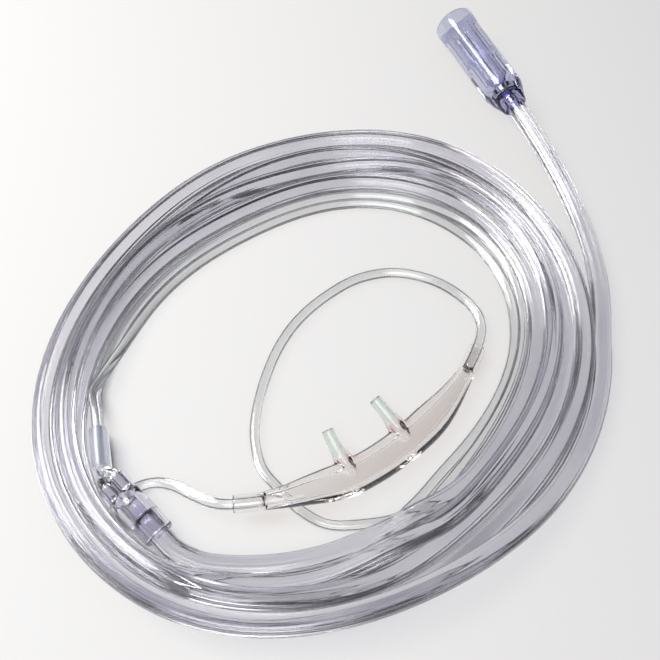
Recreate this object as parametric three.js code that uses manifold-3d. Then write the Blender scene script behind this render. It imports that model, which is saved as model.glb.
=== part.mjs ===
// Nasal oxygen cannula with its supply tubing, lying on a level surface as it comes out of its bag.
// Millimetres, +Z up. The origin lies on the surface, under the middle of the nosepiece.
// +X runs along the nosepiece from its left socket to its right one, and the prongs point to +Y.
import * as THREE from "three";
import { mergeVertices } from "three/addons/utils/BufferGeometryUtils.js";
import Module from "manifold-3d";

const wasm = await Module();
wasm.setup();

// Clearances between pieces that are glued or slid together
const fitGap = 0.2;
const faceGap = 0.3;

// Tubing
const supplyDiameter = 5.5;
const lariatDiameter = 2.8;
const tubeSides = 8;
const supplySides = 12;

// Nosepiece: a soft arched tube with a socket at each end and two prongs
const nose = {
  bendRadius: 72,
  halfSpan: 38.2,
  middleY: -4.65,
  halfWidth: 4.7,
  halfHeight: 2.8,
  taperStart: 12,
  taperEnd: 34,
  socketWall: 0.6,
  socketDepth: 8,
  lumenRadius: 1.15,
  lumenHalfWidth: 2.4,
  prongSpacing: 16.5,
  prongShift: -1.6,
  prongLean: 0.95,
  prongReach: 13.33,
  prongRise: 3.5,
  prongKneeReach: 7.4,
  prongKneeRise: 0.8,
  prongBaseRadius: 2.15,
  prongTipRadius: 1.6,
  prongFlare: 0.45,
  prongFlareStart: 0.25,
  prongFlareEnd: 0.55,
  prongWall: 0.55,
  liftStart: 9,
  liftEnd: 24,
};

// Y connector: one barrel for the supply tube and two ports for the lariat tubes
const wye = {
  mouth: new THREE.Vector3(-56.2, 10.1, 4.5),
  heading: 99.4,
  pitch: 5,
  roll: -20,
  barrelLength: 12.5,
  barrelWall: 1.0,
  barrelChamfer: 0.5,
  socketDepth: 6,
  channelRadius: 1.9,
  shoulderLength: 2.6,
  shoulderDrop: 0.8,
  hoodLength: 1.0,
  portLength: 5.6,
  portWall: 0.45,
  portWeb: 0.5,
  portDepth: 5.4,
  portRun: 0.8,
  channelStop: 1.5,
  branchRadius: 1.0,
  branchStart: 3,
  branchOverlap: 0.5,
};

// Slide: a soft sleeve round both lariat tubes
const slide = {
  lowerEnd: new THREE.Vector3(-59.4, 32.9, 0),
  heading: 66,
  length: 10.5,
  wall: 0.55,
  travel: 5,
  inlet: 1.5,
  approach: 1.2,
  approachSpread: 0.35,
};

// End connector: the ribbed socket that is pushed on an oxygen outlet
const plug = {
  tubeEnd: new THREE.Vector3(99.7, 62.8, 0),
  heading: 79,
  length: 39,
  collarRadius: 3.9,
  bodyRadius: 6.1,
  mouthRadius: 6.5,
  shoulderLength: 7,
  flareLength: 7,
  lipLength: 1.2,
  lipChamfer: 0.2,
  entryRadius: 5.3,
  entryDepth: 5,
  boreRadius: 4.3,
  boreDepth: 19.5,
  innerBoreRadius: 3.0,
  innerBoreDepth: 30,
  channelRadius: 1.9,
  socketDepth: 7,
};

// Coil: the turns of supply tube, with the lariat tubes along their inner side
const coil = {
  centre: new THREE.Vector2(3.05, 28.8),
  layers: 2,
  spareHeight: 1.6,
  outerMean: 71.9,
  outerWaves: [[1.0, -8], [6.4, 17], [1.3, 56]],
  innerMean: 51.2,
  innerWaves: [[2.5, -146], [7.3, 8], [0.8, 1]],
  spareWidth: 0.4,
  bareStart: 157,
  bareEnd: 212,
  leftExit: 184,
  straight: 2.5,
  lariatStep: 257,
  tailStart: 285,
  tailStep: 327.5,
  pointSpacing: 3,
};

const lariatRadius = lariatDiameter / 2;
const supplyRadius = supplyDiameter / 2;
const lariatBore = lariatRadius + fitGap;
const supplyBore = supplyRadius + fitGap;
const overcut = 1;

function radians(degrees) {
  return THREE.MathUtils.degToRad(degrees);
}

function material(color, roughness) {
  return new THREE.MeshStandardMaterial({ color, roughness, metalness: 0, transparent: true, opacity: 0.6 });
}

const clearVinyl = material(0xe9e7ee, 0.25);
const tintedVinyl = material(0xd3d3e6, 0.2);
const violetVinyl = material(0xb4b5dc, 0.25);
const frostedVinyl = material(0xdfe3ea, 0.55);

// A closed geometry as a solid that can be cut and joined
function solid(geometry) {
  const bare = geometry.clone();
  bare.deleteAttribute("normal");
  bare.deleteAttribute("uv");
  const merged = mergeVertices(bare, 1e-5);
  return new wasm.Manifold(new wasm.Mesh({
    numProp: 3,
    vertProperties: new Float32Array(merged.attributes.position.array),
    triVerts: new Uint32Array(merged.index.array),
  }));
}

function geometryOf(manifold) {
  const { vertProperties, triVerts } = manifold.getMesh();
  const geometry = new THREE.BufferGeometry();
  geometry.setAttribute("position", new THREE.BufferAttribute(new Float32Array(vertProperties), 3));
  geometry.setIndex(new THREE.BufferAttribute(new Uint32Array(triVerts), 1));
  return geometry;
}

function named(name, geometry, finish) {
  geometry.computeVertexNormals();
  const mesh = new THREE.Mesh(geometry, finish);
  mesh.name = name;
  return mesh;
}

// A cylinder bent along part of a curve, with its half width and half height given along that part
function bentRod(curve, from, to, rings, sides, halfWidth, halfHeight) {
  const geometry = new THREE.CylinderGeometry(1, 1, 1, sides, rings);
  const position = geometry.attributes.position;
  const up = new THREE.Vector3(0, 0, 1);
  const vertex = new THREE.Vector3();
  for (let i = 0; i < position.count; i += 1) {
    vertex.fromBufferAttribute(position, i);
    const along = vertex.y + 0.5;
    const t = from + (to - from) * along;
    const point = curve.getPoint(t);
    const tangent = curve.getPoint(t + 1e-4).sub(curve.getPoint(t - 1e-4)).normalize();
    const across = new THREE.Vector3().crossVectors(tangent, up).normalize();
    const above = new THREE.Vector3().crossVectors(across, tangent);
    point.addScaledVector(across, vertex.x * halfWidth(along));
    point.addScaledVector(above, vertex.z * halfHeight(along));
    position.setXYZ(i, point.x, point.y, point.z);
  }
  return geometry;
}

// A turned piece on the X axis, from its [x, radius] profile
function turned(profile, sides) {
  const points = profile.map(([x, radius]) => new THREE.Vector2(radius, x));
  return new THREE.LatheGeometry(points, sides).rotateZ(-Math.PI / 2);
}

function rod(from, to, radius, sides) {
  return turned([[from, 0], [from, radius], [to, radius], [to, 0]], sides);
}

// A tube's plain outer solid along a curve
function cordAlong(points, diameter, sides, steps) {
  const section = new THREE.Shape();
  for (let i = 0; i < sides; i += 1) {
    const angle = (i / sides) * 2 * Math.PI;
    const x = (diameter / 2) * Math.cos(angle);
    const y = (diameter / 2) * Math.sin(angle);
    if (i === 0) section.moveTo(x, y);
    else section.lineTo(x, y);
  }
  const path = new THREE.CatmullRomCurve3(points.map((point) => new THREE.Vector3(...point)));
  return new THREE.ExtrudeGeometry(section, { extrudePath: path, steps, bevelEnabled: false });
}

// Nosepiece, bent to a circle: the half angle that its arms span
const noseReach = Math.asin(nose.halfSpan / nose.bendRadius);

class NoseLine extends THREE.Curve {
  getPoint(t, target = new THREE.Vector3()) {
    const angle = (2 * t - 1) * noseReach;
    const x = nose.bendRadius * Math.sin(angle);
    const y = nose.middleY + nose.bendRadius * (1 - Math.cos(angle));
    return target.set(x, y, noseHalfHeight(x) + noseLift(x));
  }
}

const socketRadius = lariatBore + nose.socketWall;

function noseBlend(x) {
  return THREE.MathUtils.smoothstep(Math.abs(x), nose.taperStart, nose.taperEnd);
}

function noseHalfHeight(x) {
  return THREE.MathUtils.lerp(nose.halfHeight, socketRadius, noseBlend(x));
}

// The left arm lies over a lariat tube
function noseLift(x) {
  const lift = lariatDiameter + faceGap;
  return lift * THREE.MathUtils.smoothstep(-x, nose.liftStart, nose.liftEnd);
}

const noseLine = new NoseLine();
const noseLength = 2 * nose.bendRadius * noseReach;

function prongCurve(side) {
  const rootX = nose.prongShift + side * nose.prongSpacing / 2;
  const root = new THREE.Vector3(rootX, nose.middleY, nose.halfHeight);
  const knee = root.clone().add(new THREE.Vector3(0, nose.prongKneeReach, nose.prongKneeRise));
  const tip = new THREE.Vector3(
    rootX - side * nose.prongLean,
    nose.middleY + nose.prongReach,
    nose.halfHeight + nose.prongRise,
  );
  return new THREE.QuadraticBezierCurve3(root, knee, tip);
}

function prongRadius(along) {
  const shaft = THREE.MathUtils.lerp(nose.prongBaseRadius, nose.prongTipRadius, along);
  const flare = 1 - THREE.MathUtils.smoothstep(along, nose.prongFlareStart, nose.prongFlareEnd);
  return shaft + nose.prongFlare * flare;
}

function makeNosepiece() {
  const { lerp } = THREE.MathUtils;
  const xAt = (along) => nose.bendRadius * Math.sin((2 * along - 1) * noseReach);
  const halfWidth = (along) => lerp(nose.halfWidth, socketRadius, noseBlend(xAt(along)));
  const halfHeight = (along) => noseHalfHeight(xAt(along));
  const lumenWidth = (along) => lerp(nose.lumenHalfWidth, nose.lumenRadius, noseBlend(xAt(along)));
  const round = (radius) => () => radius;
  let body = solid(bentRod(noseLine, 0, 1, 36, 20, halfWidth, halfHeight));
  const socketShare = nose.socketDepth / noseLength;
  const cuts = [
    bentRod(noseLine, socketShare / 2, 1 - socketShare / 2, 24, 12, lumenWidth, round(nose.lumenRadius)),
    bentRod(noseLine, -overcut / noseLength, socketShare, 5, 16, round(lariatBore), round(lariatBore)),
    bentRod(noseLine, 1 - socketShare, 1 + overcut / noseLength, 5, 16, round(lariatBore), round(lariatBore)),
  ];
  for (const side of [-1, 1]) {
    const curve = prongCurve(side);
    body = body.add(solid(bentRod(curve, 0.08, 1, 10, 16, prongRadius, prongRadius)));
    const bore = (along) => lerp(nose.prongBaseRadius, nose.prongTipRadius, along) - nose.prongWall;
    cuts.push(bentRod(curve, 0, 1.08, 10, 12, bore, bore));
  }
  for (const cut of cuts) body = body.subtract(solid(cut));
  return named("nosepiece", geometryOf(body), clearVinyl);
}

// Y connector, on its own X axis from the supply socket's mouth to the ports
const barrelRadius = supplyBore + wye.barrelWall;
const portRadius = lariatBore + wye.portWall;
const portOffset = lariatBore + wye.portWeb / 2;
const portStart = wye.barrelLength + wye.hoodLength;
const portEnd = wye.barrelLength + wye.portLength;

function makeWye() {
  const barrel = turned([
    [0, 0],
    [0, barrelRadius - wye.barrelChamfer],
    [wye.barrelChamfer, barrelRadius],
    [wye.barrelLength - wye.shoulderLength, barrelRadius],
    [wye.barrelLength, barrelRadius - wye.shoulderDrop],
    [portStart, portRadius],
    [portStart, 0],
  ], 24);
  let body = solid(barrel);
  const cuts = [
    rod(-overcut, wye.socketDepth, supplyBore, 20),
    rod(wye.socketDepth - overcut, wye.barrelLength - wye.channelStop, wye.channelRadius, 16),
  ];
  for (const side of [-1, 1]) {
    const portY = side * portOffset;
    const port = rod(wye.barrelLength - wye.shoulderLength, portEnd, portRadius, 16);
    body = body.add(solid(port.translate(0, portY, 0)));
    const boreStart = portEnd - wye.portDepth;
    cuts.push(rod(boreStart, portEnd + overcut, lariatBore, 16).translate(0, portY, 0));
    const branch = new THREE.LineCurve3(
      new THREE.Vector3(wye.barrelLength - wye.branchStart, 0, 0),
      new THREE.Vector3(boreStart + wye.branchOverlap, portY, 0),
    );
    const radius = () => wye.branchRadius;
    cuts.push(bentRod(branch, 0, 1, 1, 12, radius, radius));
  }
  for (const cut of cuts) body = body.subtract(solid(cut));
  const mesh = named("y_connector", geometryOf(body), tintedVinyl);
  mesh.rotation.set(radians(wye.roll), 0, 0);
  const tilt = new THREE.Group();
  tilt.rotation.set(0, -radians(wye.pitch), 0);
  tilt.add(mesh);
  const placed = new THREE.Group();
  placed.rotation.z = radians(wye.heading);
  placed.position.copy(wye.mouth);
  placed.add(tilt);
  return placed;
}

// A point given on the Y connector's own axes, in the part's frame
function wyePoint(x, y) {
  const point = new THREE.Vector3(x, y, 0);
  point.applyAxisAngle(new THREE.Vector3(1, 0, 0), radians(wye.roll));
  point.applyAxisAngle(new THREE.Vector3(0, 1, 0), -radians(wye.pitch));
  point.applyAxisAngle(new THREE.Vector3(0, 0, 1), radians(wye.heading));
  return point.add(wye.mouth).toArray();
}

// Slide: the two lariat tubes pass through it one above the other
const laneSpacing = lariatDiameter + faceGap;
const lowerLaneHeight = lariatBore + slide.wall;
const slideAngle = radians(slide.heading);
const slideDirection = new THREE.Vector3(Math.cos(slideAngle), Math.sin(slideAngle), 0);

function ovalPath(path, radius, rise) {
  path.absarc(0, rise, radius, 0, Math.PI, false);
  path.absarc(0, 0, radius, Math.PI, 2 * Math.PI, false);
  path.closePath();
  return path;
}

function makeSlide() {
  const shape = ovalPath(new THREE.Shape(), lariatBore + slide.wall, laneSpacing);
  shape.holes.push(ovalPath(new THREE.Path(), lariatBore, laneSpacing));
  const options = { depth: slide.length, bevelEnabled: false, curveSegments: 10 };
  const geometry = new THREE.ExtrudeGeometry(shape, options);
  geometry.rotateX(Math.PI / 2).rotateZ(Math.PI);
  const mesh = named("slide", geometryOf(solid(geometry)), frostedVinyl);
  mesh.rotation.z = radians(slide.heading - 90);
  mesh.position.copy(slide.lowerEnd);
  mesh.position.z = lowerLaneHeight;
  return mesh;
}

// A point on the slide's straight run, at one lane's height
function runPoint(distance, height) {
  const point = slide.lowerEnd.clone().addScaledVector(slideDirection, distance);
  return [point.x, point.y, height];
}

// End connector, on its own X axis from the tube end to the mouth
function makePlug() {
  const outer = turned([
    [0, 0],
    [0, plug.collarRadius],
    [plug.shoulderLength, plug.bodyRadius],
    [plug.length - plug.flareLength, plug.bodyRadius],
    [plug.length - plug.lipLength, plug.mouthRadius],
    [plug.length, plug.mouthRadius - plug.lipChamfer],
    [plug.length, 0],
  ], 32);
  const cuts = [
    rod(plug.length - plug.entryDepth, plug.length + overcut, plug.entryRadius, 28),
    rod(plug.length - plug.boreDepth, plug.length, plug.boreRadius, 24),
    rod(plug.length - plug.innerBoreDepth, plug.length, plug.innerBoreRadius, 20),
    rod(plug.socketDepth - overcut, plug.length / 2, plug.channelRadius, 16),
    rod(-overcut, plug.socketDepth, supplyBore, 20),
  ];
  let body = solid(outer);
  for (const cut of cuts) body = body.subtract(solid(cut));
  const mesh = named("end_connector", geometryOf(body), violetVinyl);
  mesh.rotation.z = radians(plug.heading);
  mesh.position.copy(plug.tubeEnd);
  mesh.position.z = plug.mouthRadius;
  return mesh;
}

// Coil: a hank of tubing as one solid, stepped where a tube leaves it
function wave(mean, waves, angle) {
  return waves.reduce(
    (radius, [size, phase], index) => radius + size * Math.cos((index + 1) * radians(angle - phase)),
    mean,
  );
}

function outerRadius(angle) {
  const share = THREE.MathUtils.clamp((angle - coil.tailStart) / (coil.tailStep - coil.tailStart), 0, 1);
  const spout = angle > coil.tailStep ? 0 : share * (supplyDiameter + faceGap);
  return wave(coil.outerMean, coil.outerWaves, angle) + spout;
}

// The inner edge of the supply turns alone, where no lariat lies against them
function bareRadius(angle) {
  return outerRadius(angle) - coil.layers * supplyDiameter - coil.spareWidth;
}

function innerRadius(angle) {
  const lane = angle > coil.bareEnd && angle < coil.lariatStep ? lariatDiameter + faceGap : 0;
  return wave(coil.innerMean, coil.innerWaves, angle) + lane;
}

function coilPoint(radius, angle) {
  return new THREE.Vector2(
    coil.centre.x + radius * Math.cos(radians(angle)),
    coil.centre.y + radius * Math.sin(radians(angle)),
  );
}

// Angles from one bound to the next, both included, in even steps
function anglesBetween(from, to) {
  const count = Math.max(1, Math.round((to - from) / coil.pointSpacing));
  return Array.from({ length: count + 1 }, (_, i) => from + ((to - from) * i) / count);
}

function makeCoil() {
  const hair = 0.001;
  const turn = 360;
  const outer = anglesBetween(coil.tailStep + hair, coil.tailStep + turn).map((angle) => {
    const wrapped = angle > turn ? angle - turn : angle;
    return coilPoint(outerRadius(wrapped), wrapped);
  });
  const edge = (from, to, radius) => anglesBetween(from, to).map((angle) => coilPoint(radius(angle), angle));
  const inner = [
    ...edge(coil.bareEnd + hair, coil.lariatStep - hair, innerRadius),
    ...edge(coil.lariatStep, coil.bareStart + turn, innerRadius),
    ...edge(coil.bareStart, coil.bareEnd, bareRadius),
  ];
  const shape = new THREE.Shape(outer);
  shape.holes.push(new THREE.Path(inner));
  const depth = coil.layers * supplyDiameter + coil.spareHeight;
  const geometry = new THREE.ExtrudeGeometry(shape, { depth, bevelEnabled: false });
  return named("supply_coil", geometryOf(solid(geometry)), tintedVinyl);
}

// Cord routes, each from its fitting outwards
const resting = supplyRadius;
const lariatResting = lariatRadius;
const upperLane = lowerLaneHeight + laneSpacing;
const coilLead = coilPoint(bareRadius(coil.bareEnd) - supplyRadius - faceGap, coil.bareEnd);
const coilLeadDirection = coil.bareEnd + 90;

function towards(point, heading, distance, height) {
  return [
    point.x + distance * Math.cos(radians(heading)),
    point.y + distance * Math.sin(radians(heading)),
    height,
  ];
}

const supplyLead = [
  wyePoint(wye.socketDepth - faceGap, 0),
  wyePoint(wye.socketDepth / 2, 0),
  wyePoint(0, 0),
  [-55.4, 5.6, 3.9],
  [-53.1, 1.2, 3.1],
  towards(coilLead, coilLeadDirection, -coil.straight, resting),
  towards(coilLead, coilLeadDirection, -faceGap, resting),
];

const tailEdge = wave(coil.outerMean, coil.outerWaves, coil.tailStep);
const tailFace = coilPoint(tailEdge + supplyRadius + fitGap, coil.tailStep);
const plugPoint = (distance) => towards(plug.tubeEnd, plug.heading, distance, plug.mouthRadius);
const supplyTail = [
  towards(tailFace, coil.tailStep + 90, faceGap, resting),
  towards(tailFace, coil.tailStep + 90, coil.straight, resting),
  [73.0, -4.0, resting],
  [78.9, 3.4, resting],
  [85.7, 14.8, resting],
  [91.5, 27.7, resting + 0.2],
  [95.5, 41.0, resting + 1.4],
  [98.2, 54.0, resting + 3.0],
  plugPoint(0),
  plugPoint(plug.socketDepth / 2),
  plugPoint(plug.socketDepth - faceGap),
];

const laneAtCoil = coilPoint(bareRadius(coil.bareStart) - lariatRadius - faceGap, coil.bareStart);
const laneEnd = (height) => towards(laneAtCoil, coil.bareStart - 90, -faceGap, height);

// The lariats draw together between the ports and the slide
function approachPoint(side, height) {
  const [x, y, z] = runPoint(-slide.approach, height);
  return towards({ x, y }, slide.heading + 90, side * slide.approachSpread, z - side * slide.approachSpread);
}

function lariatLead(side, height) {
  return [
    wyePoint(portEnd - wye.portDepth + faceGap, side * portOffset),
    wyePoint(portEnd - wye.portDepth / 2, side * portOffset),
    wyePoint(portEnd, side * portOffset),
    wyePoint(portEnd + wye.portRun, side * portOffset),
    approachPoint(side, height),
    runPoint(slide.inlet, height),
    runPoint(slide.length / 2, height),
    runPoint(slide.length, height),
    runPoint(slide.length + slide.travel, height),
    laneEnd(height),
  ];
}

function socketPoint(t, out) {
  const point = noseLine.getPoint(t);
  const step = noseLine.getPoint(t + 1e-3).sub(noseLine.getPoint(t - 1e-3)).normalize();
  return point.addScaledVector(step, out).toArray();
}

const socketBottom = (nose.socketDepth - faceGap) / noseLength;
const lariatEdge = wave(coil.innerMean, coil.innerWaves, coil.lariatStep);
const lariatStepPoint = coilPoint(lariatEdge + lariatRadius, coil.lariatStep);

const rightLariat = [
  towards(lariatStepPoint, coil.lariatStep - 90, faceGap, lariatResting),
  towards(lariatStepPoint, coil.lariatStep - 90, coil.straight, lariatResting),
  [-14.8, -14.9, lariatResting],
  [-21.9, -9.8, lariatResting],
  [-25.2, -3.4, lariatResting],
  [-26.4, 4.0, lariatResting],
  [-26.9, 11.0, lariatResting],
  [-24.7, 17.6, lariatResting],
  [-20.7, 23.6, lariatResting],
  [-12.7, 31.4, lariatResting],
  [-3.7, 37.7, lariatResting],
  [5.6, 41.6, lariatResting],
  [16.3, 43.2, lariatResting],
  [26.0, 42.6, lariatResting],
  [35.0, 38.4, lariatResting + 0.2],
  [41.7, 30.6, lariatResting + 0.5],
  [44.9, 21.6, lariatResting + 0.8],
  [44.9, 14.2, lariatResting + 0.9],
  [42.2, 9.4, socketRadius],
  socketPoint(1, 0),
  socketPoint(1 - socketBottom / 2, 0),
  socketPoint(1 - socketBottom, 0),
];

const bareWallPoint = coilPoint(bareRadius(coil.leftExit), coil.leftExit);
const leftLariat = [
  towards(bareWallPoint, coil.leftExit - 180, faceGap, lariatResting),
  [-59.6, 24.9, lariatResting],
  [-55.0, 25.0, lariatResting],
  [-50.4, 23.4, lariatResting + 0.2],
  [-46.9, 19.6, lariatResting + 0.8],
  [-44.6, 14.4, lariatResting + 2.2],
  [-41.8, 9.4, noseLine.getPoint(0).z - 0.5],
  socketPoint(0, 0),
  socketPoint(socketBottom / 2, 0),
  socketPoint(socketBottom, 0),
];

function supplyTube(name, points, steps) {
  return named(name, cordAlong(points, supplyDiameter, supplySides, steps), tintedVinyl);
}

function lariatTube(name, points, steps) {
  return named(name, cordAlong(points, lariatDiameter, tubeSides, steps), clearVinyl);
}

const cannula = new THREE.Group();
cannula.add(
  makeNosepiece(),
  makeWye(),
  makeSlide(),
  makePlug(),
  makeCoil(),
  supplyTube("supply_tube_lead", supplyLead, 6),
  supplyTube("supply_tube_tail", supplyTail, 9),
  lariatTube("lariat_tube_right_lead", lariatLead(-1, upperLane), 15),
  lariatTube("lariat_tube_left_lead", lariatLead(1, lowerLaneHeight), 15),
  lariatTube("lariat_tube_right", rightLariat, 24),
  lariatTube("lariat_tube_left", leftLariat, 12),
);

export default cannula;
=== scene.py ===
"""Nasal oxygen cannula with its supply tubing, lying coiled on a pale floor.

Sizes in the classes are millimetres, and each becomes metres where a mesh is made.
The frame is the part's own: the floor is z = 0, x runs along the nosepiece and its prongs point to +y.
"""

import logging
import math
from collections.abc import Callable
from dataclasses import dataclass
from enum import Enum

import bmesh
import bpy
import numpy as np
from mathutils import Matrix, Vector


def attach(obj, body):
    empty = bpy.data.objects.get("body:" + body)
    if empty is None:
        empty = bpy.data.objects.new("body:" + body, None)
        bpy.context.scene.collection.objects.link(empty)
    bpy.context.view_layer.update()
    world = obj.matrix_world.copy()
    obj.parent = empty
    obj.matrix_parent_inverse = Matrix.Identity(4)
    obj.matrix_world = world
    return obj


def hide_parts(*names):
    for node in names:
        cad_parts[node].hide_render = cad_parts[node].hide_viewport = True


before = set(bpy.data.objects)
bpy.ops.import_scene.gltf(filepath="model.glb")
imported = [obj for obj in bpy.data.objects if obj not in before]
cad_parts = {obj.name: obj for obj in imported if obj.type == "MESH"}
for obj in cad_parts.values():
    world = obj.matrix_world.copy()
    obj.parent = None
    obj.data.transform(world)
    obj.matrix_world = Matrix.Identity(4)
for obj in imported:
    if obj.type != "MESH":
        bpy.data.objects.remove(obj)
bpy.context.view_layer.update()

MM = 0.001
log = logging.getLogger("cannula")

Colour = tuple[float, float, float]
Point = tuple[float, float, float]
Pair = tuple[float, float]
Edges = list[bmesh.types.BMEdge]
Measure = Callable[[float], float]
Surface = tuple[bpy.types.NodeSocket, bpy.types.NodeSocket, bpy.types.NodeSocket]


class Side(Enum):
    """The two sides of the cannula, as signs along its own x axis."""

    LEFT = -1
    RIGHT = 1


class Lane(Enum):
    """The two levels on which the lariat tubes pass through the slide."""

    LOWER = 0
    UPPER = 1


def lerp(start: float, end: float, share: float) -> float:
    """Returns the value at a share of the way from start to end."""
    return start + (end - start) * share


def smoothstep(value: float, low: float, high: float) -> float:
    """Eases from 0 to 1.

    Args:
        value: The number to ease.
        low: Where the easing starts.
        high: Where it ends.

    Returns:
        0 below low, 1 above high, and a smooth value between them.
    """
    share = min(1.0, max(0.0, (value - low) / (high - low)))
    return share * share * (3 - 2 * share)


def route_through(points: list[Point], step: float) -> np.ndarray:
    """Draws a smooth line through chosen points and walks along it in even steps.

    Args:
        points: The points that the line passes, in millimetres.
        step: The distance between two points of the result, in millimetres.

    Returns:
        The evenly spaced points, one row each.
    """
    given = np.array(points, float)
    given = np.vstack([2 * given[0] - given[1], given, 2 * given[-1] - given[-2]])
    gaps = np.linalg.norm(np.diff(given, axis=0), axis=1)
    knots = np.concatenate([[0], np.cumsum(np.sqrt(gaps))])[:, None]
    before, here, after = given[:-2], given[1:-1], given[2:]
    back, ahead = knots[1:-1] - knots[:-2], knots[2:] - knots[1:-1]
    slopes = (here - before) / back - (after - before) / (back + ahead) + (after - here) / ahead
    share = np.linspace(0, 1, 24, endpoint=False)[:, None, None]
    width = ahead[:-1]
    line = (
        (2 * share**3 - 3 * share**2 + 1) * here[:-1]
        + (share**3 - 2 * share**2 + share) * width * slopes[:-1]
        + (3 * share**2 - 2 * share**3) * here[1:]
        + (share**3 - share**2) * width * slopes[1:]
    )
    fine = np.vstack([line.transpose(1, 0, 2).reshape(-1, 3), here[-1]])
    walked = np.concatenate([[0], np.cumsum(np.linalg.norm(np.diff(fine, axis=0), axis=1))])
    stops = np.linspace(0, walked[-1], max(2, round(walked[-1] / step) + 1))
    return np.column_stack([np.interp(stops, walked, fine[:, axis]) for axis in range(3)])


def places_along(line: np.ndarray, sizes: list[Pair]) -> list[Matrix]:
    """Sets a section's place at each point of a line.

    Args:
        line: The points of the line, in millimetres.
        sizes: The section's half width and half height at each point, in millimetres.

    Returns:
        A matrix for each point, in metres: x is across the line, y above it and z along it.
    """
    slopes = np.gradient(line, axis=0)
    places = []
    for point, slope, (half_width, half_height) in zip(line, slopes, sizes):
        along = Vector(slope).normalized()
        across = along.cross(Vector((0, 0, 1))).normalized()
        above = across.cross(along)
        turn = Matrix((across, above, along)).transposed().to_4x4()
        size = Matrix.Diagonal((half_width * MM, half_height * MM, 1, 1))
        places.append(Matrix.Translation(Vector(point) * MM) @ turn @ size)
    return places


def carry_ring(
    bm: bmesh.types.BMesh, places: list[Matrix], sides: int, lobes: int = 0, depth: float = 0.0
) -> tuple[Edges, Edges]:
    """Extrudes a ring from place to place.

    Args:
        bm: The mesh that the wall is added to.
        places: The ring's places, from the first to the last.
        sides: How many points the ring has.
        lobes: How many lengthwise grooves the ring has.
        depth: How deep the grooves are, as a share of the radius.

    Returns:
        The edges of the first ring and of the last one.
    """
    along = bm.verts.layers.float.get("along") or bm.verts.layers.float.new("along")
    round_x = bm.verts.layers.float.get("round_x") or bm.verts.layers.float.new("round_x")
    round_y = bm.verts.layers.float.get("round_y") or bm.verts.layers.float.new("round_y")
    verts = bmesh.ops.create_circle(bm, segments=sides, radius=1.0)["verts"]
    for vert in verts:
        angle = math.atan2(vert.co.y, vert.co.x)
        vert[round_x] = vert.co.x
        vert[round_y] = vert.co.y
        vert[along] = 0.0
        vert.co *= 1 + depth * math.cos(lobes * angle)
    first = list({edge for vert in verts for edge in vert.link_edges})
    bmesh.ops.transform(bm, matrix=places[0], verts=verts)
    edges = first
    walked = 0.0
    for here, after in zip(places, places[1:]):
        walked += (after.translation - here.translation).length
        grown = bmesh.ops.extrude_edge_only(bm, edges=edges)["geom"]
        verts = [item for item in grown if isinstance(item, bmesh.types.BMVert)]
        edges = [item for item in grown if isinstance(item, bmesh.types.BMEdge) and item.is_boundary]
        bmesh.ops.transform(bm, matrix=after @ here.inverted(), verts=verts)
        for vert in verts:
            vert[along] = walked
    return first, edges


def object_of(bm: bmesh.types.BMesh, name: str, smooth: bool = True) -> bpy.types.Object:
    """Turns a finished mesh into an object in the scene.

    Args:
        bm: The mesh, in metres in the part's frame. It is freed.
        name: The piece's name.
        smooth: Whether its faces are shaded smooth.

    Returns:
        The new object, at the origin.
    """
    bmesh.ops.recalc_face_normals(bm, faces=bm.faces)
    for face in bm.faces:
        face.smooth = smooth
    mesh = bpy.data.meshes.new(name)
    bm.to_mesh(mesh)
    bm.free()
    piece = bpy.data.objects.new(name, mesh)
    bpy.context.scene.collection.objects.link(piece)
    return piece


def solid_along(name: str, line: np.ndarray, sizes: list[Pair], sides: int) -> bpy.types.Object:
    """Makes a closed rod along a line, for joining or cutting.

    Args:
        name: The rod's name.
        line: The points that it follows, in millimetres.
        sizes: Its half width and half height at each point, in millimetres.
        sides: How many sides its section has.

    Returns:
        The rod's object.
    """
    bm = bmesh.new()
    first, last = carry_ring(bm, places_along(line, sizes), sides)
    bmesh.ops.edgeloop_fill(bm, edges=first)
    bmesh.ops.edgeloop_fill(bm, edges=last)
    return object_of(bm, name)


def turned_solid(name: str, profile: list[Pair], place: Matrix, sides: int) -> bpy.types.Object:
    """Spins a profile round the x axis into a closed solid.

    Args:
        name: The piece's name.
        profile: Its points as (distance along x, radius), in millimetres.
        place: The piece's place in the part's frame.
        sides: How many steps the spin has.

    Returns:
        The turned object.
    """
    bm = bmesh.new()
    verts = [bm.verts.new((x * MM, 0, radius * MM)) for x, radius in profile]
    closed = profile[0][1] > 0 and profile[-1][1] > 0
    pairs = list(zip(verts, verts[1:])) + ([(verts[-1], verts[0])] if closed else [])
    edges = [bm.edges.new(pair) for pair in pairs]
    bmesh.ops.spin(
        bm, geom=verts + edges, cent=(0, 0, 0), axis=(1, 0, 0), angle=2 * math.pi, steps=sides, use_merge=True
    )
    bmesh.ops.remove_doubles(bm, verts=bm.verts, dist=1e-6)
    bmesh.ops.transform(bm, matrix=place, verts=bm.verts)
    return object_of(bm, name)


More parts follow.
